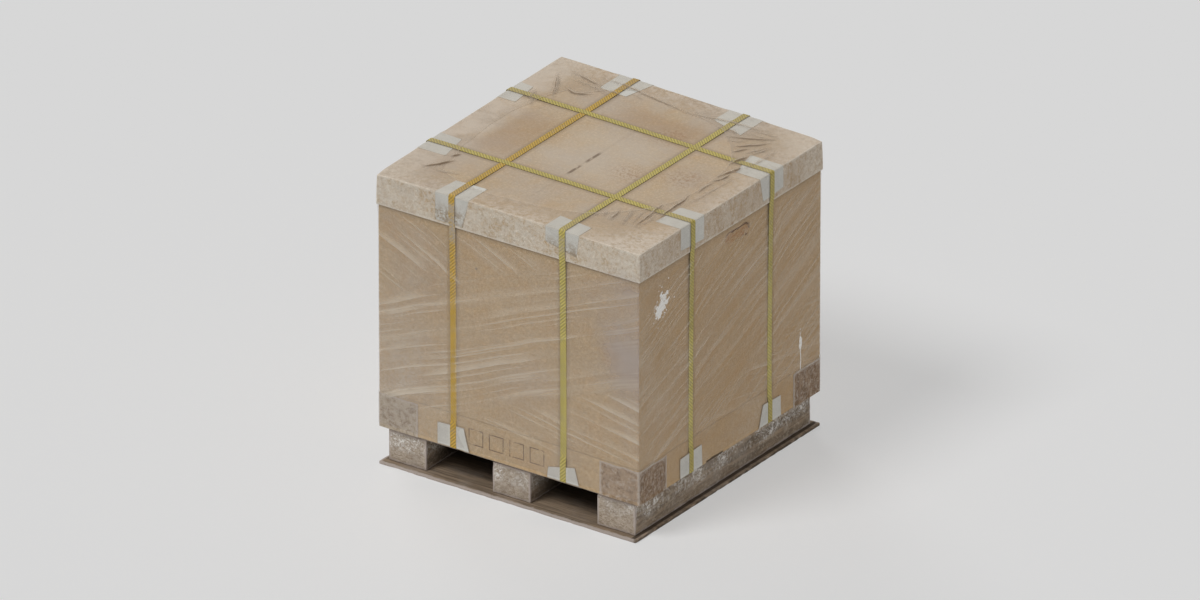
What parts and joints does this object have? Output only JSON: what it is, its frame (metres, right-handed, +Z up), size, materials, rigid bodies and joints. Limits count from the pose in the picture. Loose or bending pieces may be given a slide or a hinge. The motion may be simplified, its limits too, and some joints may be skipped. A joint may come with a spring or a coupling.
{
  "type": "shrink wrapped pallet load",
  "caption": "Tall strapped carton with a telescopic lid on a low wooden stringer pallet, its sides wrapped in clear stretch film over edge and corner boards.",
  "frame": {"origin": "centre of the footprint, on the floor", "axes": "+Z up; +X across the three stringers; +Y along the stringers and the fork pockets"},
  "size_m": [1.1196, 1.126, 1.1178],
  "materials": {
    "pallet_wood": "weathered bare wood",
    "body_board": "matt kraft board",
    "lid_board": "matt kraft board, dusty and scuffed",
    "goods": "plain",
    "gold_strapping": "embossed polypropylene",
    "yellow_strapping": "embossed polypropylene",
    "protector_board": "matt white-faced solid board",
    "patch_board": "worn grey-brown solid board",
    "stretch_film": "clear stretch film with pale streaks"
  },
  "bodies": {
    "root": {"bottom_sheet": "pallet_wood", "stringer_left": "pallet_wood", "stringer_centre": "pallet_wood", "stringer_right": "pallet_wood", "deck_sheet": "pallet_wood", "carton_body": "body_board", "carton_lid": "lid_board", "packed_goods": "goods", "strap_lengthways_left": "gold_strapping", "strap_lengthways_right": "yellow_strapping", "strap_crossways_front": "yellow_strapping", "strap_crossways_back": "yellow_strapping", "top_protector_front_left": "protector_board", "top_protector_front_right": "protector_board", "top_protector_back_left": "protector_board", "top_protector_back_right": "protector_board", "top_protector_left_front": "protector_board", "top_protector_left_back": "protector_board", "top_protector_right_front": "protector_board", "top_protector_right_back": "protector_board", "bottom_protector_front_left": "protector_board", "bottom_protector_front_right": "protector_board", "bottom_protector_back_left": "protector_board", "bottom_protector_back_right": "protector_board", "bottom_protector_left_front": "protector_board", "bottom_protector_left_back": "protector_board", "bottom_protector_right_front": "protector_board", "bottom_protector_right_back": "protector_board", "corner_patch_front_left": "patch_board", "corner_patch_front_right": "patch_board", "corner_patch_back_left": "patch_board", "corner_patch_back_right": "patch_board", "film_wrap": "stretch_film"}
  },
  "joints": []
}
